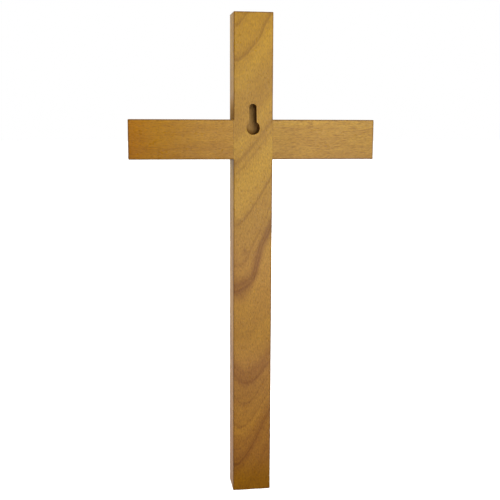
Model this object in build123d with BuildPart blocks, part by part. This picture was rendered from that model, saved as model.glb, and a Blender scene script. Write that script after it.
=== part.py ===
"""A plain wooden Latin wall cross: two flat bars, cross-lapped and glued, hung on a screw by a keyhole slot.

The wall is behind the cross, in the plane Y = 0, and the cross stands out from it towards +Y. Z is up.
The origin is the centre of the keyhole's entry hole, in the back face, on the cross's centreline.
"""

import os
from math import cos, radians, sin

from build123d import *

# Driving dimensions, in millimetres
LENGTH = 305.0  # upright, end to end
SPAN = 153.0  # crossbar, end to end
BAR_WIDTH = 24.4  # both bars, across the back face
THICKNESS = 19.0  # both bars, from the wall to the front
CROSSBAR_BELOW_TOP = 76.7  # top of the upright to the crossbar's centreline
ARRIS = 0.45  # radius sanded on every outer edge, after the bars were glued
GLUE = 0.12  # thickness of the glue film all round the lap

# The keyhole, as its cutter leaves it: the head goes in at the entry hole and runs up behind a lip of wood
ENTRY_ABOVE_CROSSBAR = 7.0  # entry hole's centre above the crossbar's centreline
HEAD_DIAMETER = 8.3  # entry hole, and the channel behind the lip
SHANK_WIDTH = 4.6  # slot through the lip
LIP = 3.0  # wood between the back face and the channel
KEYHOLE_DEPTH = 7.6
TRAVEL = 12.5  # from the entry hole's centre to where the screw rests
LEAN = 1.2  # degrees that the hand-guided slot leans towards -X on its way up

# Places that follow from them
CROSSBAR_Z = -ENTRY_ABOVE_CROSSBAR
MIDDLE_Z = CROSSBAR_Z + CROSSBAR_BELOW_TOP - LENGTH / 2
BACK_HALF = THICKNESS / 2 - GLUE / 2  # what the upright keeps at the crossing
FRONT_HALF = THICKNESS / 2 + GLUE / 2  # where the crossbar's share begins
LAP = BAR_WIDTH + 2 * GLUE  # width of each notch
SLOT_MIDDLE = (-TRAVEL / 2 * sin(radians(LEAN)), TRAVEL / 2 * cos(radians(LEAN)))

back_face = Plane.XZ  # its normal points at the wall, so that wood lies on its negative side


# The glued cross, with its arrises eased in one go. Each piece is its own share of this shape.
with BuildPart() as glued_cross:
    with BuildSketch(back_face):
        with Locations((0, MIDDLE_Z)):
            Rectangle(BAR_WIDTH, LENGTH)
        with Locations((0, CROSSBAR_Z)):
            Rectangle(SPAN, BAR_WIDTH)
    extrude(amount=-THICKNESS)
    outlines = glued_cross.faces().filter_by(Axis.Y).edges()
    corners = glued_cross.edges().filter_by(Axis.Y).sort_by_distance((0, 0, CROSSBAR_Z))
    fillet(outlines + corners[4:], radius=ARRIS)  # all but the four inner corners

# The upright runs through the back of the crossing, and its notch for the crossbar is in its front.
with BuildPart() as upright:
    add(glued_cross.part)
    with BuildSketch(back_face):
        with Locations((0, MIDDLE_Z)):
            Rectangle(BAR_WIDTH, LENGTH)
    extrude(amount=-THICKNESS, mode=Mode.INTERSECT)
    with BuildSketch(back_face.offset(-BACK_HALF)):
        with Locations((0, CROSSBAR_Z)):
            Rectangle(BAR_WIDTH, LAP)
    extrude(amount=-THICKNESS, mode=Mode.SUBTRACT)
    # keyhole: the entry hole and the narrow slot go through the lip, and the wide channel runs behind it
    with BuildSketch(back_face):
        Circle(HEAD_DIAMETER / 2)
        with Locations(SLOT_MIDDLE):
            SlotCenterToCenter(TRAVEL, SHANK_WIDTH, rotation=90 + LEAN)
    extrude(amount=-KEYHOLE_DEPTH, mode=Mode.SUBTRACT)
    with BuildSketch(back_face.offset(-LIP)):
        with Locations(SLOT_MIDDLE):
            SlotCenterToCenter(TRAVEL, HEAD_DIAMETER, rotation=90 + LEAN)
    extrude(amount=LIP - KEYHOLE_DEPTH, mode=Mode.SUBTRACT)
upright.part.label = "upright"

# The crossbar runs through the front of the crossing, and its notch for the upright is in its back.
with BuildPart() as crossbar:
    add(glued_cross.part)
    with BuildSketch(back_face):
        with Locations((0, CROSSBAR_Z)):
            Rectangle(SPAN, BAR_WIDTH)
    extrude(amount=-THICKNESS, mode=Mode.INTERSECT)
    with BuildSketch(back_face):
        with Locations((0, CROSSBAR_Z)):
            Rectangle(LAP, BAR_WIDTH)
    extrude(amount=-FRONT_HALF, mode=Mode.SUBTRACT)
crossbar.part.label = "crossbar"

# The glue is what the lap leaves between the two bars: a square film, turned out at two shoulders on each face.
with BuildPart() as lap_glue:
    add(glued_cross.part)
    with BuildSketch(back_face):
        with Locations((0, CROSSBAR_Z)):
            Rectangle(LAP, LAP)
    extrude(amount=-THICKNESS, mode=Mode.INTERSECT)
    with BuildSketch(back_face):
        with Locations((0, CROSSBAR_Z)):
            Rectangle(BAR_WIDTH, LAP)
    extrude(amount=-BACK_HALF, mode=Mode.SUBTRACT)
    with BuildSketch(back_face.offset(-FRONT_HALF)):
        with Locations((0, CROSSBAR_Z)):
            Rectangle(LAP, BAR_WIDTH)
    extrude(amount=-BACK_HALF, mode=Mode.SUBTRACT)
lap_glue.part.label = "lap_glue"

os.makedirs("parts", exist_ok=True)
for piece in (upright, crossbar, lap_glue):
    export_step(piece.part, f"parts/{piece.part.label}.step")
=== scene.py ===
"""A plain wooden wall cross, seen from its back: two lacquered bars, their glued lap and a keyhole slot."""

import math

import bmesh
import bpy
from mathutils import Matrix, Vector


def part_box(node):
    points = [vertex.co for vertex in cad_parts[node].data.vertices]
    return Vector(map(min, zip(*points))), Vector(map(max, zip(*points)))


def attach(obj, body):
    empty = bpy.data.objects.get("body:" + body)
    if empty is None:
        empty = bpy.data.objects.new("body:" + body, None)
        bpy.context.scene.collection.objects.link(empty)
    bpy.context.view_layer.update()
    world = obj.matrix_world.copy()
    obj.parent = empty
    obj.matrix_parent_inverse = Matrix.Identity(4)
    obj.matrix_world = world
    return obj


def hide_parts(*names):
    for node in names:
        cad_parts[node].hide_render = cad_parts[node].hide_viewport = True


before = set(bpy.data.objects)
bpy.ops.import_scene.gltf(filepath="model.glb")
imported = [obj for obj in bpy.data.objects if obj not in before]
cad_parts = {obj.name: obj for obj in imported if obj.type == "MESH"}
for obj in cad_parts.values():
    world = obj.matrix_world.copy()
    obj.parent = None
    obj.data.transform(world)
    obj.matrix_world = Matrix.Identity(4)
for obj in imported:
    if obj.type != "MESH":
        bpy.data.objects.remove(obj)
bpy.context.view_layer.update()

# ---------------------------------------------------------------- camera
# It stands half a metre behind the cross, a little to its left and just above the level of the keyhole,
# and looks down at the middle of the upright.
foot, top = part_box("upright")[0].z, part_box("upright")[1].z
eye = Vector((-0.0789, -0.5274, 0.0071))
aim = Vector((-0.0017, 0.0, (foot + top) / 2 + 0.0069))
tilt = math.radians(0.23)

lens = bpy.data.cameras.new("camera")
lens.lens = 61.76
lens.sensor_width = 36.0
lens.clip_start = 0.01
camera = bpy.data.objects.new("camera", lens)
camera.matrix_world = (
    Matrix.Translation(eye)
    @ (aim - eye).to_track_quat("-Z", "Y").to_matrix().to_4x4()
    @ Matrix.Rotation(tilt, 4, "Z")
)
bpy.context.scene.collection.objects.link(camera)
bpy.context.scene.camera = camera
bpy.context.scene.view_settings.view_transform = "Standard"


# ---------------------------------------------------------------- floor and studio light
# A white paper floor, lit by its own wash. One softbox close to the camera's right shoulder, a large one
# further off that only shines in the lacquer, fills at both sides and in front, and pale walls all round.
def add(tree, kind, inputs=None, output=0, **settings):
    """Adds one node with its settings and inputs. An input is a plain value or another node's output."""
    made = tree.nodes.new(kind)
    for name, value in settings.items():
        setattr(made, name, value)
    for socket, value in (inputs or {}).items():
        if isinstance(value, bpy.types.NodeSocket):
            tree.links.new(value, made.inputs[socket])
        else:
            made.inputs[socket].default_value = value
    return made.outputs[output]


def calc(tree, operation, *values):
    return add(tree, "ShaderNodeMath", dict(enumerate(values)), operation=operation)


def between(tree, value, low, high, to_low=0.0, to_high=1.0, smooth=False):
    """Maps value from low..high to to_low..to_high, and holds it at the ends."""
    return add(
        tree,
        "ShaderNodeMapRange",
        {"Value": value, "From Min": low, "From Max": high, "To Min": to_low, "To Max": to_high},
        interpolation_type="SMOOTHSTEP" if smooth else "LINEAR",
    )


def lamp(name, place, target, watts, width, height, sheen=False):
    """A softbox turned towards target. It either lights the wood or, for sheen, only shines in its gloss."""
    data = bpy.data.lights.new(name, "AREA")
    data.energy = watts
    data.shape = "RECTANGLE"
    data.size = width
    data.size_y = height
    made = bpy.data.objects.new(name, data)
    made.location = place
    made.rotation_euler = (Vector(target) - Vector(place)).to_track_quat("-Z", "Y").to_euler()
    made.visible_camera = False
    made.visible_diffuse = not sheen
    made.visible_glossy = sheen
    bpy.context.scene.collection.objects.link(made)


lamp("key", (0.140, -0.440, 0.151), (-0.086, 0, 0.20), 2.45, 0.36, 0.50)
lamp("left_fill", (-0.90, 0.25, 0.10), (0, 0, -0.05), 7.8, 0.50, 0.80)
lamp("right_fill", (0.90, 0.25, 0.10), (0, 0, -0.05), 2.8, 0.50, 0.80)
lamp("front_fill", (0.35, 1.10, 0.35), (0, 0, -0.05), 5.0, 0.70, 0.70)
lamp("sheen", (0.583, -1.50, -0.179), (0, 0, -0.05), 2.8, 0.94, 0.87, sheen=True)
lamp("front_sheen", (0.90, 1.20, 0.30), (0, 0, -0.05), 5.0, 0.80, 0.80, sheen=True)

paper = bpy.data.materials.new("white_paper")
paper.use_nodes = True
paper_bsdf = paper.node_tree.nodes["Principled BSDF"]
paper_bsdf.inputs["Base Color"].default_value = (0.93, 0.93, 0.93, 1)
paper_bsdf.inputs["Roughness"].default_value = 0.9
sheet = bpy.data.meshes.new("floor")
reach = 8.0
below = foot - 0.0005
sheet.from_pydata(
    [(-reach, -reach, below), (reach, -reach, below), (reach, reach, below), (-reach, reach, below)],
    [],
    [(0, 1, 2, 3)],
)
sheet.materials.append(paper)
floor = bpy.data.objects.new("floor", sheet)
floor.visible_diffuse = False
floor.visible_glossy = False
bpy.context.scene.collection.objects.link(floor)
floor_only = bpy.data.collections.new("floor_only")
floor_only.objects.link(floor)
wash = bpy.data.objects.new("floor_wash", bpy.data.lights.new("floor_wash", "SUN"))
wash.data.energy = 4.0
wash.data.use_shadow = False
wash.light_linking.receiver_collection = floor_only
bpy.context.scene.collection.objects.link(wash)

room = bpy.data.worlds.new("room")
room.use_nodes = True
t = room.node_tree
t.nodes.clear()
toward = add(t, "ShaderNodeSeparateXYZ", {0: add(t, "ShaderNodeTexCoord")}, output=1)
rays = t.nodes.new("ShaderNodeLightPath")
walls = between(t, toward, 0.0, 0.8, 0.23, 0.55, smooth=True)
mirrored = between(t, toward, 0.0, 0.7, 0.05, 0.45, smooth=True)
level = add(t, "ShaderNodeMix", {0: rays.outputs["Is Glossy Ray"], 2: walls, 3: mirrored})
level = add(t, "ShaderNodeMix", {0: rays.outputs["Is Camera Ray"], 2: level, 3: 1.0})
white = add(t, "ShaderNodeBackground", {"Color": (1, 1, 1, 1), "Strength": level})
t.links.new(white, t.nodes.new("ShaderNodeOutputWorld").inputs["Surface"])
bpy.context.scene.world = room

# ---------------------------------------------------------------- upright
# One bar of plain-sawn wood, stained golden brown and lacquered satin, with a half lap in its front and a
# keyhole slot routed in its back. The pith ran just off the back face, so the growth rings make arches.
crossbar_low, crossbar_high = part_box("crossbar")[0] * 1000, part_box("crossbar")[1] * 1000
bar_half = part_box("upright")[1].x * 1000
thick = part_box("upright")[1].y * 1000
lap_z = (crossbar_low.z + crossbar_high.z) / 2
foot_z, top_z = foot * 1000, top * 1000

# The keyhole, in millimetres: its entry hole and slot, the lip that holds the screw's head, and the channel.
HEAD_RADIUS = 4.15
SHANK_HALF = 2.3
LIP = 3.0
KEYHOLE_DEPTH = 7.6
TRAVEL = 12.5
LEAN = math.radians(-1.2)

# The colours of the wood between its dark lines and in them, of the arrises, of the painted shade on the
# sides above the crossbar's ledge, and of the wood inside the keyhole, with its pores and painted shade.
PALE = (0.525, 0.285, 0.013)
BROWN = (0.300, 0.129, 0.009)
LINE = (0.235, 0.097, 0.006)
ARRIS = (0.170, 0.068, 0.008)
# painted shade, for the upright's sides above the crossbar
LEDGE_SHADE = (0.120, 0.052, 0.008)
BARE = (0.430, 0.245, 0.070)
# the dark of the pores in the bare wood, and the painted shade inside the keyhole
DARK_PORES_AND_SHADE = (0.165, 0.070, 0.005)
RIM = (0.260, 0.100, 0.004)


def curve(tree, value, points):
    """Looks value up in points, a list of (value, result), with straight lines between them."""
    lowest, highest = min(p[1] for p in points), max(p[1] for p in points)
    span = max(highest - lowest, 1e-6)
    points = sorted(points)
    first, last = points[0][0], points[-1][0]
    made = tree.nodes.new("ShaderNodeValToRGB")
    elements = made.color_ramp.elements
    while len(elements) < len(points):
        elements.new(0.5)
    for element, (place, result) in zip(elements, points):
        level = (result - lowest) / span
        element.position = (place - first) / (last - first)
        element.color = (level, level, level, 1)
    tree.links.new(between(tree, value, first, last), made.inputs["Fac"])
    return between(tree, made.outputs["Color"], 0.0, 1.0, lowest, highest)


def noise(tree, place, scale, offset=(0, 0, 0), detail=2.0, rough=0.5):
    """Smooth noise around 0.5, with lumps of the size in millimetres that scale gives along X, Y and Z."""
    spread = add(
        tree,
        "ShaderNodeMapping",
        {"Vector": place, "Location": offset, "Scale": [1 / s for s in scale]},
    )
    return add(
        tree,
        "ShaderNodeTexNoise",
        {"Vector": spread, "Scale": 1.0, "Detail": detail, "Roughness": rough},
    )


def blend(tree, factor, first, second, kind="MIX"):
    made = tree.nodes.new("ShaderNodeMix")
    made.data_type = "RGBA"
    made.blend_type = kind
    for socket, value in ((0, factor), (6, first), (7, second)):
        if isinstance(value, bpy.types.NodeSocket):
            tree.links.new(value, made.inputs[socket])
        elif socket == 0:
            made.inputs[0].default_value = value
        else:
            made.inputs[socket].default_value = (*value, 1)
    return made.outputs[2]


def in_millimetres(tree):
    """The place on the piece in millimetres, and its X, Y and Z."""
    place = add(tree, "ShaderNodeTexCoord", output=3)
    scaled = add(tree, "ShaderNodeVectorMath", {0: place, "Scale": 1000.0}, operation="SCALE")
    parts = tree.nodes.new("ShaderNodeSeparateXYZ")
    tree.links.new(scaled, parts.inputs[0])
    return scaled, *parts.outputs


def off_middle(tree, value, middle):
    """How far value is from middle, either way."""
    return calc(tree, "ABSOLUTE", calc(tree, "SUBTRACT", value, middle))


def edge_wear(tree, place, x, y, z, half, low, high, joint):
    """1 on the sanded arrises of a bar, and 0 on its faces and along the glued joint."""
    from_side = calc(tree, "SUBTRACT", half, off_middle(tree, x, 0.0))
    from_end = calc(tree, "SUBTRACT", (high - low) / 2, off_middle(tree, z, (low + high) / 2))
    from_face = calc(tree, "SUBTRACT", thick / 2, off_middle(tree, y, thick / 2))
    nearest = calc(tree, "MINIMUM", calc(tree, "MINIMUM", from_side, from_end), from_face)
    farthest = calc(tree, "MAXIMUM", calc(tree, "MAXIMUM", from_side, from_end), from_face)
    total = calc(tree, "ADD", calc(tree, "ADD", from_side, from_end), from_face)
    second = calc(tree, "SUBTRACT", calc(tree, "SUBTRACT", total, nearest), farthest)
    ragged = calc(tree, "MULTIPLY_ADD", noise(tree, place, (1.5, 1.5, 1.5), (8, 8, 1)), 0.5, -0.25)
    unworn, fully_worn = 0.95, 0.35
    worn = between(tree, calc(tree, "ADD", second, ragged), unworn, fully_worn, smooth=True)
    return calc(tree, "MULTIPLY", worn, joint)


def lacquer(material, colour, rough, height, depth):
    """The satin finish over the wood: its gloss, and the fine relief of the grain under it."""
    tree = material.node_tree
    bsdf = tree.nodes["Principled BSDF"]
    tree.links.new(colour, bsdf.inputs["Base Color"])
    tree.links.new(rough, bsdf.inputs["Roughness"])
    tree.links.new(add(tree, "ShaderNodeBump", {"Height": height, "Distance": depth}), bsdf.inputs["Normal"])


# The arches, by the height of each one's lowest point: how far to the side the pith was there, how steeply
# the arch opens, and how far the pith ran off the back face.
PITH_SIDE = (
    (-240, -13), (-219, -11.2), (-192, -7), (-176, -4.9), (-163, -3.4), (-150, -4), (-110, -8.4),
    (-98, -8.6), (-62, -11.9), (-23.5, -16.4), (-7, -14), (41, -9.6), (60, -13.3), (80, -13.3),
)
STEEPNESS = (
    (-240, 2.4), (-219, 2.35), (-192, 2.03), (-176, 1.98), (-163, 1.53), (-150, 1.8), (-110, 3.05),
    (-98, 3.05), (-62, 1.85), (-23.5, 1.32), (-7, 1.6), (41, 1.98), (60, 2.15), (80, 2.15),
)
PITH_BEHIND = 8.0
# Swells in the grain: where each is, across and up, its half size both ways, and how far it shifts the rings.
SWELLS = (
    ((-0.5, -91), (4.5, 8), 5.0),
    ((-13, -98), (4, 8), 2.6),
    ((6.5, -75), (4, 9), -2.6),
    ((2.5, 54), (4, 6), 1.8),
    ((-7, -102), (3.5, 5), -1.6),
)
# How pale the wood is between the dark lines, by height, and the same for the arches near the foot, which
# are the ones below FOOT_ARCHES.
TONES = (
    (75, 0.47), (63, 0.52), (57, 0.64), (51, 0.69), (44, 0.57), (38, 0.68), (30, 0.88), (24, 0.83),
    (17, 0.64), (5, 0.53), (-7, 0.57), (-11.5, 0.88), (-18, 0.76), (-25, 0.60), (-33, 0.78), (-38, 1.0),
    (-50, 0.96), (-57, 0.76), (-66, 0.64), (-90, 0.62), (-98, 0.42), (-106, 0.42), (-113, 0.85),
    (-131, 0.68), (-144, 0.86), (-151, 0.62), (-157, 0.32), (-164, 0.36), (-168, 0.60),
)
FOOT_ARCHES = -166.0
LOW_TONES = (
    (-165, 0.60), (-174, 0.60), (-184, 0.78), (-190, 0.68), (-196, 0.88), (-203, 0.54), (-212, 0.44),
    (-222, 0.32), (-226, 0.55), (-233, 0.54), (-250, 0.42), (-270, 0.50), (-300, 0.45),
)
# The dark lines: each one's height and darkness, and how far it fades upwards and downwards. The darkest
# line, below the middle, is a band of two strands.
LINES = (
    (59.9, 0.60, 2.4, 0.9), (40.9, 0.90, 3.4, 1.0), (-23.6, 0.52, 2.2, 2.6), (-30.2, 0.40, 1.4, 0.9),
    (-61.0, 0.80, 3.0, 1.0), (-86.0, 0.42, 3.5, 2.0),
)
DARK_BAND = (
    (-111, 0.0), (-106.5, 0.10), (-104.6, 0.55), (-102.4, 0.95), (-100.6, 0.50), (-98.2, 0.85),
    (-96.4, 0.50), (-92, 0.08), (-89, 0.0),
)
LOW_LINES = (
    (-157.0, 0.20, 1.6, 0.8), (-162.8, 0.62, 2.4, 0.8), (-176.3, 0.38, 1.6, 0.9), (-192.2, 0.48, 1.6, 1.0),
    (-214.6, 0.55, 3.4, 0.9), (-217.6, 0.85, 2.0, 2.4), (-245.0, 0.30, 3.0, 2.0),
)


def dark_lines(tree, ring, lines, low, high):
    """How dark the lines make the wood at ring. Each has a crisp lower edge and fades out above."""
    bend, bend_part = 0.9, 0.55
    points = [(low, 0.0), (high, 0.0)]
    for height, dark, above, under in lines:
        points += [(height + above, 0.0), (height + bend, dark * bend_part)]
        points += [(height, dark), (height - under, 0.0)]
    return curve(tree, ring, points)


def growth_rings(tree, place, x, y, z, jitter):
    """The ring that passes through each place, told by the height of its arch's lowest point.

    An arch's shape goes by its ring, so the ring is found in four rounds, from a middling arch.
    """
    ring = z
    deep = calc(tree, "POWER", calc(tree, "ADD", y, PITH_BEHIND), 2.0)
    side, steep = -8.5, 2.1
    for turn in range(4):
        if turn > 0:
            side, steep = curve(tree, ring, PITH_SIDE), curve(tree, ring, STEEPNESS)
        across = calc(tree, "POWER", calc(tree, "SUBTRACT", x, side), 2.0)
        away = calc(tree, "SUBTRACT", calc(tree, "SQRT", calc(tree, "ADD", across, deep)), PITH_BEHIND)
        ring = calc(tree, "SUBTRACT", z, calc(tree, "MULTIPLY", away, steep))
    for (side, height), (wide, tall), lift in SWELLS:
        off_side = calc(tree, "POWER", calc(tree, "DIVIDE", calc(tree, "SUBTRACT", x, side), wide), 2.0)
        off_height = calc(tree, "POWER", calc(tree, "DIVIDE", calc(tree, "SUBTRACT", z, height), tall), 2.0)
        fade = calc(tree, "EXPONENT", calc(tree, "MULTIPLY", calc(tree, "ADD", off_side, off_height), -1.0))
        ring = calc(tree, "MULTIPLY_ADD", fade, lift, ring)
    wobble = calc(tree, "SUBTRACT", noise(tree, place, (10, 10, 14), (3, 1, 7)), 0.5)
    ring = calc(tree, "MULTIPLY_ADD", wobble, 2.4, ring)
    return calc(tree, "MULTIPLY_ADD", jitter, 1.2, ring)


def plain_sawn(tree, place, x, y, ring):
    """The wood's colour from its rings: pale and brown bands, flecks along them, and the dark lines."""
    near_foot = calc(tree, "LESS_THAN", ring, FOOT_ARCHES)
    high_tone, low_tone = curve(tree, ring, TONES), curve(tree, ring, LOW_TONES)
    tone = add(tree, "ShaderNodeMix", {0: near_foot, 2: high_tone, 3: low_tone})
    high_lines = dark_lines(tree, ring, LINES, -145, 80)
    lines = calc(tree, "ADD", high_lines, dark_lines(tree, ring, LOW_LINES, -300, -140))
    lines = calc(tree, "ADD", lines, curve(tree, ring, DARK_BAND))
    along_ring = add(tree, "ShaderNodeCombineXYZ", {0: ring, 1: x, 2: y})
    fine = calc(tree, "SUBTRACT", noise(tree, along_ring, (1.5, 12, 12), (9, 4, 2), 3.0, 0.6), 0.5)
    tone = calc(tree, "MULTIPLY_ADD", fine, 0.50, tone)
    blotch = calc(tree, "SUBTRACT", noise(tree, place, (3.0, 3.0, 5.5), (1, 8, 3), 3.0, 0.7), 0.5)
    tone = calc(tree, "MULTIPLY_ADD", blotch, 0.70, tone)
    colour = blend(tree, tone, BROWN, PALE)
    uneven = between(tree, noise(tree, place, (8, 8, 12), (7, 7, 7)), 0.32, 0.6, 0.65, 1.0)
    return blend(tree, calc(tree, "MULTIPLY", lines, uneven), colour, LINE)


def distance(tree, place, centre, stretch):
    """How far place is from centre, with each direction counted as much as stretch says."""
    apart = add(tree, "ShaderNodeVectorMath", {0: place, 1: centre}, operation="SUBTRACT")
    apart = add(tree, "ShaderNodeVectorMath", {0: apart, 1: stretch}, operation="MULTIPLY")
    return add(tree, "ShaderNodeVectorMath", {0: apart}, output=1, operation="LENGTH")


def stain_and_painted_light(tree, colour, grit, bright, green, blue):
    """The wood under its stain, whose strength and hue along the bar also hold painted light: painted shade
    where it is darker, and a painted sheen where it is bluer.
    """
    grit = calc(tree, "MULTIPLY", grit, bright)
    green_part, blue_part = calc(tree, "MULTIPLY", grit, green), calc(tree, "MULTIPLY", grit, blue)
    tint = add(tree, "ShaderNodeCombineXYZ", {0: grit, 1: green_part, 2: blue_part})
    return blend(tree, 1.0, colour, tint, kind="MULTIPLY")


def keyhole_wood(tree, place, x, y, z, pores, colour):
    """The keyhole's walls and floor: stained darker at the rim, which is partly painted shade, bare further
    in with darker pores, and painted shade on the floor below the entry hole and beside the slot.

    It gives where the bare wood is, and the colour.
    """
    half_wide, half_tall, middle_z, past_floor = 5.0, 12.0, 6.0, 7.8
    beside = between(tree, off_middle(tree, x, 0.0), half_wide + 0.2, half_wide)
    in_slot = calc(tree, "MULTIPLY", beside, between(tree, y, past_floor + 0.2, past_floor))
    along = between(tree, off_middle(tree, z, middle_z), half_tall + 0.2, half_tall)
    in_slot = calc(tree, "MULTIPLY", in_slot, along)
    # the slot's rim darker: partly stain, partly painted shade where its walls turn from the light
    rim = calc(tree, "MULTIPLY", in_slot, between(tree, y, 0.3, 0.8))
    colour = blend(tree, calc(tree, "MULTIPLY", rim, 0.75), colour, RIM)
    hole = calc(tree, "MULTIPLY", in_slot, between(tree, y, 2.4, 3.1))
    raw = blend(tree, calc(tree, "MULTIPLY", pores, 0.5), BARE, DARK_PORES_AND_SHADE)
    # painted shade: the floor darker below the entry hole and beside the slot, where the walls keep light off
    # it
    from_entry = distance(tree, place, (0.9, 0.0, 1.6), (1.0, 0.0, 1.0))
    below_entry = between(tree, z, 3.5, 1.5, smooth=True)
    keyhole_shade = calc(tree, "MULTIPLY", between(tree, from_entry, 2.1, 5.3, smooth=True), below_entry)
    off_centre = between(tree, off_middle(tree, x, 0.15), 1.0, 2.4)
    beside_slot = calc(tree, "MULTIPLY", off_centre, between(tree, z, 3.0, 5.0))
    keyhole_shade = calc(tree, "MAXIMUM", keyhole_shade, calc(tree, "MULTIPLY", beside_slot, 0.5))
    raw = blend(tree, calc(tree, "MULTIPLY", keyhole_shade, 0.90), raw, DARK_PORES_AND_SHADE)
    return hole, blend(tree, hole, colour, raw)


upright_wood = bpy.data.materials.new("upright_wood")
upright_wood.use_nodes = True
t = upright_wood.node_tree
place, x, y, z = in_millimetres(t)
jitter = calc(t, "SUBTRACT", noise(t, place, (1.6, 1.6, 3.2), (5, 2, 1)), 0.5)
colour = plain_sawn(t, place, x, y, growth_rings(t, place, x, y, z, jitter))
# a pin knot, below the middle
to_knot = distance(t, place, (-5.0, 0.0, -76.5), (1.0, 0.25, 0.6))
knot = between(t, calc(t, "MULTIPLY_ADD", jitter, 2.0, to_knot), 2.2, 0.2, smooth=True)
colour = blend(t, calc(t, "MULTIPLY", knot, 0.6), colour, LINE)
# pores, and the stain, whose strength and hue change with height, with painted light in them: the greyer,
# bluer wood below the crossbar is a painted sheen, and the darker, redder foot is partly stain, partly
# painted shade
pores = between(t, noise(t, place, (0.50, 0.60, 2.1), (2, 2, 2), 1.0), 0.54, 0.70)
colour = blend(t, calc(t, "MULTIPLY", pores, 0.50), colour, LINE)
grit = between(t, noise(t, place, (0.8, 0.9, 1.7), (6, 1, 2), 1.0), 0.3, 0.7, 0.86, 1.14)
bright = curve(t, z, (
    (-235, 0.88), (-228, 0.915), (-212, 1.04), (-191, 1.07), (-170, 1.035), (-150, 1.10), (-130, 1.04),
    (-111, 1.06), (-85, 1.09), (-66, 1.04), (-46, 1.02), (-28, 0.99), (5, 0.97), (30, 0.925), (48, 0.98),
    (70, 0.97),
))
green = curve(t, z, (
    (-235, 0.77), (-200, 0.83), (-150, 0.91), (-100, 0.94), (-60, 1.0), (20, 1.0), (70, 0.97),
))
blue = curve(t, z, (
    (-235, 0.1), (-228, 0.2), (-212, 2.2), (-191, 2.4), (-170, 3.3), (-150, 3.9), (-130, 2.8),
    (-111, 3.1), (-85, 3.8), (-66, 3.4), (-46, 2.8), (-28, 1.9), (20, 1.65), (30, 1.3), (48, 0.7),
    (65, 0.25), (70, 0.2),
))
colour = stain_and_painted_light(t, colour, grit, bright, green, blue)
# the arrises, sanded and darker
at_lap = between(t, off_middle(t, z, lap_z), bar_half - 0.3, bar_half + 0.3)
wear = edge_wear(t, place, x, y, z, bar_half, foot_z, top_z, at_lap)
colour = blend(t, calc(t, "MULTIPLY", wear, 0.65), colour, ARRIS)
# painted shade on the sides just above the crossbar's ledge, where the crossbar keeps light from them
ledge = crossbar_high.z
on_side = between(t, off_middle(t, x, 0.0), bar_half - 0.4, bar_half - 0.1)
above_ledge = between(t, z, ledge + 16.0, ledge + 3.0, smooth=True)
ledge_shade = calc(t, "MULTIPLY", on_side, above_ledge)
ledge_shade = calc(t, "MULTIPLY", ledge_shade, between(t, z, ledge - 0.5, ledge))
colour = blend(t, calc(t, "MULTIPLY", ledge_shade, 0.6), colour, LEDGE_SHADE)
hole, colour = keyhole_wood(t, place, x, y, z, pores, colour)
rough = between(t, noise(t, place, (6, 6, 9), (4, 4, 4)), 0.3, 0.7, 0.26, 0.34)
rough = add(t, "ShaderNodeMix", {0: calc(t, "MAXIMUM", hole, ledge_shade), 2: rough, 3: 0.75})
lacquer(upright_wood, colour, rough, calc(t, "MULTIPLY", pores, -1.0), 0.00003)


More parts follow.
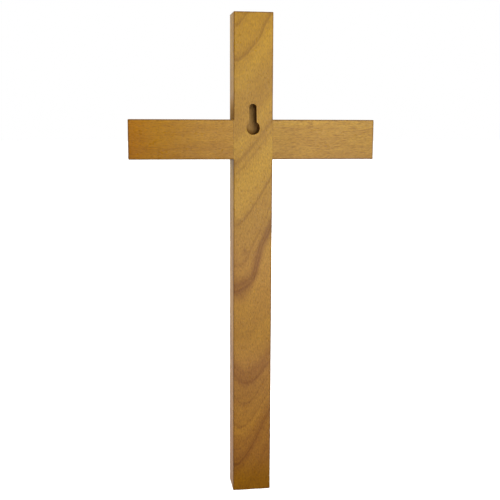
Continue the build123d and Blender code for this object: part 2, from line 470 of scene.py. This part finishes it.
def bar_tree():
    """Geometry nodes for one bar in millimetres: planed, crosscut by a round saw, and its arrises sanded."""
    tree = bpy.data.node_groups.new("sanded_bar", "GeometryNodeTree")
    tree.interface.new_socket("Geometry", in_out="OUTPUT", socket_type="NodeSocketGeometry")
    for name in ("Size", "Middle", "Cells", "Along", "Saw Axle"):
        tree.interface.new_socket(name, in_out="INPUT", socket_type="NodeSocketVector")
    for name in ("Lap Middle", "Lap Half", "Arris", "Saw Pitch", "Saw Depth", "Hollow", "Seed"):
        tree.interface.new_socket(name, in_out="INPUT", socket_type="NodeSocketFloat")
    tree.interface.new_socket("Material", in_out="INPUT", socket_type="NodeSocketMaterial")
    given = tree.nodes.new("NodeGroupInput").outputs

    def vector(operation, first, second=(0, 0, 0)):
        output = 1 if operation in ("DOT_PRODUCT", "DISTANCE") else 0
        return add(tree, "ShaderNodeVectorMath", {0: first, 1: second}, output, operation=operation)

    def lumps(where, across, shift):
        where = add(tree, "ShaderNodeVectorMath", {0: where, "Scale": 1 / across}, operation="SCALE")
        seed = calc(tree, "ADD", given["Seed"], shift)
        inputs = {"Vector": where, "W": seed, "Scale": 1.0}
        return add(tree, "ShaderNodeTexNoise", inputs, noise_dimensions="4D")

    # a box whose cells are narrow along its edges and even everywhere else
    narrow = (4, 4, 4)
    margin = (0.62, 0.62, 0.62)
    narrow_step = [wide / many for wide, many in zip(margin, narrow)]
    corners = add(tree, "ShaderNodeSeparateXYZ", {0: vector("ADD", given["Cells"], (1, 1, 1))}).node.outputs
    counts = {1: corners[0], 2: corners[1], 3: corners[2]}
    box = add(tree, "GeometryNodeMeshCube", {"Size": given["Cells"], **counts})
    grid = add(tree, "GeometryNodeInputPosition")
    half_cells = vector("MULTIPLY", given["Cells"], (0.5, 0.5, 0.5))
    from_edge = vector("SUBTRACT", half_cells, vector("ABSOLUTE", grid))
    half = vector("MULTIPLY", given["Size"], (0.5, 0.5, 0.5))
    edge_cells = vector("MINIMUM", from_edge, narrow)
    inner_cells = vector("MAXIMUM", vector("SUBTRACT", from_edge, narrow), (0, 0, 0))
    inner_step = vector("DIVIDE", vector("SUBTRACT", half, margin), vector("SUBTRACT", half_cells, narrow))
    edge_part = vector("MULTIPLY", edge_cells, narrow_step)
    inwards = vector("ADD", edge_part, vector("MULTIPLY", inner_cells, inner_step))
    square = vector("MULTIPLY", vector("SIGN", grid), vector("SUBTRACT", half, inwards))
    # the arris: sanded by hand, so a little uneven, and left square where the other bar meets this one
    station = vector("DOT_PRODUCT", vector("ADD", square, given["Middle"]), given["Along"])
    past_lap = calc(tree, "SUBTRACT", off_middle(tree, station, given["Lap Middle"]), given["Lap Half"])
    uneven = between(tree, lumps(square, 9.0, 0.0), 0.3, 0.7, 0.8, 1.3)
    eased = calc(tree, "MULTIPLY", uneven, given["Arris"])
    eased = calc(tree, "MULTIPLY_ADD", eased, between(tree, past_lap, 0.0, 1.2), 0.01)
    reach_in = vector("SUBTRACT", half, eased)
    core = vector("MAXIMUM", vector("MINIMUM", square, reach_in), vector("MULTIPLY", reach_in, (-1, -1, -1)))
    outwards = vector("NORMALIZE", vector("SUBTRACT", square, core))
    skin = vector("ADD", core, vector("MULTIPLY", outwards, eased))
    # the saw's arcs across the two ends, and the slight hollows that the sanding leaves
    faces_along = vector("DOT_PRODUCT", outwards, given["Along"])
    end_on = calc(tree, "POWER", calc(tree, "ABSOLUTE", faces_along), 8.0)
    height = vector("DOT_PRODUCT", skin, given["Along"])
    flat = vector("SUBTRACT", skin, vector("MULTIPLY", given["Along"], height))
    teeth = calc(tree, "DIVIDE", vector("DISTANCE", flat, given["Saw Axle"]), given["Saw Pitch"])
    turn = calc(tree, "MULTIPLY", teeth, math.tau)
    ridge = calc(tree, "MULTIPLY_ADD", calc(tree, "SINE", turn), 0.5, 0.5)
    ridge = calc(tree, "MULTIPLY", ridge, between(tree, lumps(skin, 5.0, 3.0), 0.3, 0.7, 0.3, 1.0))
    sawn = calc(tree, "MULTIPLY", calc(tree, "MULTIPLY", ridge, end_on), given["Saw Depth"])
    hollow = calc(tree, "MULTIPLY", between(tree, lumps(skin, 18.0, 7.0), 0.35, 0.7), given["Hollow"])
    depth = calc(tree, "ADD", sawn, hollow)
    placed = vector("ADD", vector("SUBTRACT", skin, vector("MULTIPLY", outwards, depth)), given["Middle"])
    shaped = add(tree, "GeometryNodeSetPosition", {"Geometry": box, "Position": placed})
    real = add(tree, "GeometryNodeRealizeInstances", {0: shaped})
    done = add(tree, "GeometryNodeSetMaterial", {"Geometry": real, "Material": given["Material"]})
    tree.links.new(done, tree.nodes.new("NodeGroupOutput").inputs[0])
    return tree


def solid(name, mesh):
    """An object at the origin that shows mesh."""
    made = bpy.data.objects.new(name, mesh)
    bpy.context.scene.collection.objects.link(made)
    return made


def worked_out(obj):
    """The plain mesh that obj's modifiers make. The modifiers are then removed."""
    bpy.context.view_layer.update()
    mesh = bpy.data.meshes.new_from_object(obj.evaluated_get(bpy.context.evaluated_depsgraph_get()))
    obj.modifiers.clear()
    return mesh


def make_bar(name, tree, cutters, material, **sizes):
    """One bar, made by the nodes, cut by the cutters, and left as a plain mesh in metres."""
    bar = solid(name, bpy.data.meshes.new(name + "_blank"))
    nodes = bar.modifiers.new("sanded_bar", "NODES")
    nodes.node_group = tree
    sizes["Material"] = material
    for item in tree.interface.items_tree:
        if item.in_out == "INPUT":
            nodes[item.identifier] = sizes[item.name]
    bar.data = worked_out(bar)
    for cutter in cutters:
        cut = bar.modifiers.new("cut", "BOOLEAN")
        cut.object = cutter
        cut.operation = "DIFFERENCE"
        cut.solver = "EXACT"
        bar.data = worked_out(bar)
    for cutter in cutters:
        bpy.data.objects.remove(cutter)
    mesh = bar.data
    mesh.name = name
    mesh.materials.clear()
    mesh.materials.append(material)
    mesh.polygons.foreach_set("material_index", [0] * len(mesh.polygons))
    mesh.transform(Matrix.Scale(0.001, 4))
    mesh.shade_smooth()
    mesh.set_sharp_from_angle(angle=math.radians(35))
    return bar


def notch(low, high):
    """A block that cuts a notch, between two corners."""
    block = bmesh.new()
    bmesh.ops.create_cube(block, size=1.0)
    middle, span = (Vector(low) + Vector(high)) / 2, Vector(high) - Vector(low)
    for point in block.verts:
        point.co = middle + Vector(c * s for c, s in zip(point.co, span))
    mesh = bpy.data.meshes.new("notch")
    block.to_mesh(mesh)
    return solid("notch", mesh)


def slot_rows(hole, half, travel):
    """(height, half width) up a keyhole: round its entry hole, along its slot, and round the slot's end."""
    around, step, end = 30, 0.3, 14
    sweep = math.pi - math.asin(min(half / hole, 1.0))
    rows = []
    for i in range(around + 1):
        angle = sweep * i / around
        rows.append((-hole * math.cos(angle), hole * math.sin(angle)))
    start = rows[-1][0]
    steps = round((travel - start) / step)
    for i in range(1, steps):
        rows.append((start + (travel - start) * i / steps, half))
    for i in range(end + 1):
        angle = math.pi / 2 * i / end
        rows.append((travel + half * math.sin(angle), half * math.cos(angle)))
    return rows


def slot_cutter(name, rows, columns, start, floor_at, lean):
    """A closed block that cuts a slot with these rows, from start in to floor_at(x, z)."""
    block = bmesh.new()
    loops = []
    for height, half in rows:
        across = [half * (2 * i / columns - 1) for i in range(columns + 1)]
        floor_points = [(x, floor_at(x, height), height) for x in across]
        points = [(-half, start, height), *floor_points, (half, start, height)]
        loops.append([block.verts.new(p) for p in points])
    for first, second in zip(loops, loops[1:]):
        for i in range(len(first)):
            j = (i + 1) % len(first)
            block.faces.new((first[i], first[j], second[j], second[i]))
    bmesh.ops.remove_doubles(block, verts=block.verts, dist=0.001)
    bmesh.ops.recalc_face_normals(block, faces=block.faces)
    bmesh.ops.rotate(block, cent=(0, 0, 0), matrix=Matrix.Rotation(lean, 3, "Y"), verts=block.verts)
    mesh = bpy.data.meshes.new(name)
    block.to_mesh(mesh)
    return solid(name, mesh)


def cutter_marks(x, z):
    """The channel's floor, with a fine crescent for each step of the cutter's way up."""
    mark_depth, mark_step = 0.06, 0.9
    swing = math.sqrt(max(HEAD_RADIUS**2 - x * x, 0.0))
    return KEYHOLE_DEPTH - mark_depth * ((z + swing) / mark_step % 1.0)


# How both bars are worked, in millimetres.
SANDED_AND_SAWN = {"Arris": 0.45, "Saw Pitch": 2.7, "Saw Depth": 0.05, "Hollow": 0.03}
glue_low, glue_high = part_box("lap_glue")[0] * 1000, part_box("lap_glue")[1] * 1000
film = glue_high.x - bar_half
beyond = 5.0
sanded_bar = bar_tree()
mouth_rows = slot_rows(HEAD_RADIUS, SHANK_HALF, TRAVEL)
mouth = slot_cutter("mouth", mouth_rows, 6, -1.0, lambda x, z: LIP + 0.3, LEAN)
channel_radius = HEAD_RADIUS - 0.03
channel_rows = slot_rows(channel_radius, channel_radius, TRAVEL)
channel = slot_cutter("channel", channel_rows, 26, LIP, cutter_marks, LEAN)
front_notch = notch(
    (-bar_half - beyond, (thick - film) / 2, glue_low.z),
    (bar_half + beyond, thick + beyond, glue_high.z),
)
upright = make_bar(
    "upright_bar",
    sanded_bar,
    [front_notch, mouth, channel],
    upright_wood,
    **{
        "Size": (2 * bar_half, thick, (top - foot) * 1000),
        "Middle": (0.0, thick / 2, (top + foot) * 500),
        "Cells": (46.0, 38.0, 252.0),
        "Along": (0.0, 0.0, 1.0),
        "Saw Axle": (70.0, -105.0, 0.0),
        "Lap Middle": lap_z,
        "Lap Half": bar_half,
        "Seed": 3.0,
        **SANDED_AND_SAWN,
    },
)
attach(upright, "root")
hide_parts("upright")

# ---------------------------------------------------------------- crossbar
# A bar of the same wood and section with straighter grain along it. A notch in its back drops over the
# upright and is glued there. Its right arm has shorter, darker flecks than its left one.
crossbar_wood = bpy.data.materials.new("crossbar_wood")
crossbar_wood.use_nodes = True
t = crossbar_wood.node_tree
place, x, y, z = in_millimetres(t)
on_right = between(t, x, 6.0, 30.0, smooth=True)
wave = calc(t, "SUBTRACT", noise(t, place, (26, 14, 12), (6, 3, 2), 2.0), 0.5)
drift = calc(t, "MULTIPLY", wave, between(t, on_right, 0, 1, 3.0, 6.0))
across = calc(t, "ADD", calc(t, "MULTIPLY_ADD", x, -0.045, z), drift)
grain = add(t, "ShaderNodeCombineXYZ", {0: x, 1: y, 2: across})
# broad bands across its width, from the lower edge to the upper one
left_bands = curve(t, across, (
    (-21, 0.42), (-15, 0.52), (-9, 0.55), (-6.5, 0.66), (-3, 0.72), (-1.5, 0.62), (0.5, 0.68),
    (2.2, 0.80), (3.4, 0.66), (6, 0.84),
))
right_bands = curve(t, across, (
    (-21, 0.38), (-15, 0.52), (-9, 0.50), (-3, 0.56), (-0.5, 0.62), (1.5, 0.80), (4.0, 0.80), (5.5, 0.52),
))
tone = add(t, "ShaderNodeMix", {0: on_right, 2: left_bands, 3: right_bands})
cloud = calc(t, "SUBTRACT", noise(t, grain, (22, 8, 4), (2, 5, 8), 2.0), 0.5)
tone = calc(t, "MULTIPLY_ADD", cloud, 0.50, tone)
streaks = calc(t, "SUBTRACT", noise(t, grain, (20, 3, 0.9), (8, 1, 4), 2.0, 0.7), 0.5)
tone = calc(t, "MULTIPLY_ADD", streaks, 1.0, tone)
colour = blend(t, tone, BROWN, PALE)
dash = between(t, noise(t, grain, (5.5, 0.9, 0.62), (3, 9, 5), 1.0), 0.55, 0.70)
colour = blend(t, calc(t, "MULTIPLY", dash, between(t, on_right, 0, 1, 0.30, 0.75)), colour, LINE)
pores = between(t, noise(t, grain, (2.2, 0.6, 0.5), (1, 1, 6), 1.0), 0.54, 0.70)
colour = blend(t, calc(t, "MULTIPLY", pores, 0.50), colour, LINE)
grit = between(t, noise(t, place, (1.8, 0.9, 0.8), (6, 1, 2), 1.0), 0.3, 0.7, 0.88, 1.12)
# the stain's hue and strength along the bar, with painted light in them: painted shade makes the left end
# darker and more orange, and a painted sheen in the blue grows towards the right arm
green = curve(t, x, ((-76, 0.72), (-60, 0.83), (-40, 0.90), (-14, 0.95), (14, 1.02), (76, 1.04)))
blue = curve(t, x, ((-76, 0.0), (-57, 0.1), (-41, 1.15), (-25, 1.6), (19, 2.0), (51, 2.2), (67, 1.9)))
bright = curve(t, x, (
    (-76, 0.925), (-57, 0.97), (-41, 0.97), (-25, 1.0), (19, 1.02), (35, 1.10), (51, 1.09), (67, 1.06),
))
colour = stain_and_painted_light(t, colour, grit, bright, green, blue)
at_lap = between(t, off_middle(t, x, 0.0), bar_half - 0.3, bar_half + 0.3)
wear = edge_wear(t, place, x, y, z, crossbar_high.x, crossbar_low.z, crossbar_high.z, at_lap)
colour = blend(t, calc(t, "MULTIPLY", wear, 0.65), colour, ARRIS)
rough = between(t, noise(t, place, (9, 6, 6), (4, 4, 4)), 0.3, 0.7, 0.26, 0.34)
open_grain = calc(t, "MAXIMUM", pores, dash)
lacquer(crossbar_wood, colour, rough, calc(t, "MULTIPLY", open_grain, -1.0), 0.00003)
back_notch = notch(
    (glue_low.x, -beyond, crossbar_low.z - beyond),
    (glue_high.x, (thick + film) / 2, crossbar_high.z + beyond),
)
crossbar = make_bar(
    "crossbar_bar",
    sanded_bar,
    [back_notch],
    crossbar_wood,
    **{
        "Size": tuple(crossbar_high - crossbar_low),
        "Middle": tuple((crossbar_high + crossbar_low) / 2),
        "Cells": (132.0, 38.0, 46.0),
        "Along": (1.0, 0.0, 0.0),
        "Saw Axle": (0.0, -105.0, 70.0),
        "Lap Middle": 0.0,
        "Lap Half": bar_half,
        "Seed": 8.0,
        **SANDED_AND_SAWN,
    },
)
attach(crossbar, "root")
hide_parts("crossbar")

# ---------------------------------------------------------------- glue in the lap
# White wood glue, squeezed to a thin film over the lap's cheek and shoulders. Where it shows as a line at
# the shoulders, it took the stain darker than the wood.
glue = bpy.data.materials.new("wood_glue")
glue.use_nodes = True
t = glue.node_tree
place, x, y, z = in_millimetres(t)
patches = between(t, noise(t, place, (4, 4, 6), (3, 3, 3)), 0.4, 0.6)
colour = blend(t, patches, (0.10, 0.045, 0.012), (0.30, 0.14, 0.02))
lacquer(glue, colour, between(t, patches, 0, 1, 0.3, 0.5), patches, 0.00002)
lap_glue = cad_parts["lap_glue"]
lap_glue.data.materials.clear()
lap_glue.data.materials.append(glue)
